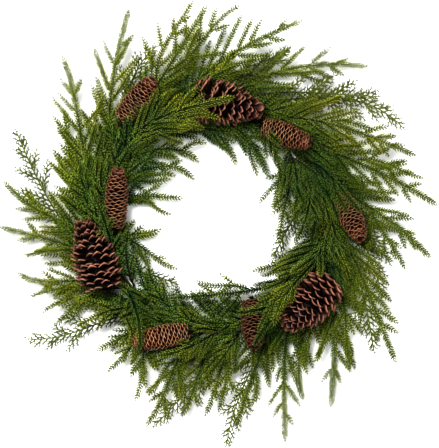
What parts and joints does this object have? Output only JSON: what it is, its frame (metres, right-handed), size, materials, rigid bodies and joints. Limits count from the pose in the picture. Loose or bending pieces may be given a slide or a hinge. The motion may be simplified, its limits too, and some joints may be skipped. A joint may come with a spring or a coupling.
{
  "type": "pinecone wreath",
  "caption": "Round wreath of moulded pine and cedar sprays with open and slim cones on a wound wire ring, lying on its back.",
  "frame": {"origin": "middle of the wreath's footprint, on the surface that its back lies on", "axes": "+Z from the back of the wreath to its front, +Y to its top, +X to its right as seen from the front"},
  "size_m": [0.612, 0.623, 0.1095],
  "materials": {
    "pine_needle": "soft moulded plastic needles, deep green near the ring and yellow-green at the tips",
    "cedar_leaf": "flat moulded scale leaves, dull olive green",
    "large_cone_wood": "dry red-brown cone scales with paler rims",
    "slim_cone_wood": "dry brown scales with tan edges",
    "stem_tape": "brown-green stem tape wound on wire"
  },
  "bodies": {
    "root": {"cedar_spray_1": "cedar_leaf", "cedar_spray_10": "cedar_leaf", "cedar_spray_11": "cedar_leaf", "cedar_spray_12": "cedar_leaf", "cedar_spray_13": "cedar_leaf", "cedar_spray_2": "cedar_leaf", "cedar_spray_3": "cedar_leaf", "cedar_spray_4": "cedar_leaf", "cedar_spray_5": "cedar_leaf", "cedar_spray_6": "cedar_leaf", "cedar_spray_7": "cedar_leaf", "cedar_spray_8": "cedar_leaf", "cedar_spray_9": "cedar_leaf", "large_cone_1": "large_cone_wood", "large_cone_2": "large_cone_wood", "large_cone_3": "large_cone_wood", "pine_spray_1": "pine_needle", "pine_spray_10": "pine_needle", "pine_spray_11": "pine_needle", "pine_spray_12": "pine_needle", "pine_spray_13": "pine_needle", "pine_spray_14": "pine_needle", "pine_spray_15": "pine_needle", "pine_spray_16": "pine_needle", "pine_spray_17": "pine_needle", "pine_spray_18": "pine_needle", "pine_spray_19": "pine_needle", "pine_spray_2": "pine_needle", "pine_spray_20": "pine_needle", "pine_spray_21": "pine_needle", "pine_spray_22": "pine_needle", "pine_spray_23": "pine_needle", "pine_spray_24": "pine_needle", "pine_spray_25": "pine_needle", "pine_spray_26": "pine_needle", "pine_spray_27": "pine_needle", "pine_spray_28": "pine_needle", "pine_spray_29": "pine_needle", "pine_spray_3": "pine_needle", "pine_spray_30": "pine_needle", "pine_spray_31": "pine_needle", "pine_spray_32": "pine_needle", "pine_spray_33": "pine_needle", "pine_spray_34": "pine_needle", "pine_spray_35": "pine_needle", "pine_spray_36": "pine_needle", "pine_spray_37": "pine_needle", "pine_spray_4": "pine_needle", "pine_spray_5": "pine_needle", "pine_spray_6": "pine_needle", "pine_spray_7": "pine_needle", "pine_spray_8": "pine_needle", "pine_spray_9": "pine_needle", "ring_frame": "stem_tape", "slim_cone_1": "slim_cone_wood", "slim_cone_2": "slim_cone_wood", "slim_cone_3": "slim_cone_wood", "slim_cone_4": "slim_cone_wood", "slim_cone_5": "slim_cone_wood", "slim_cone_6": "slim_cone_wood"}
  },
  "joints": []
}
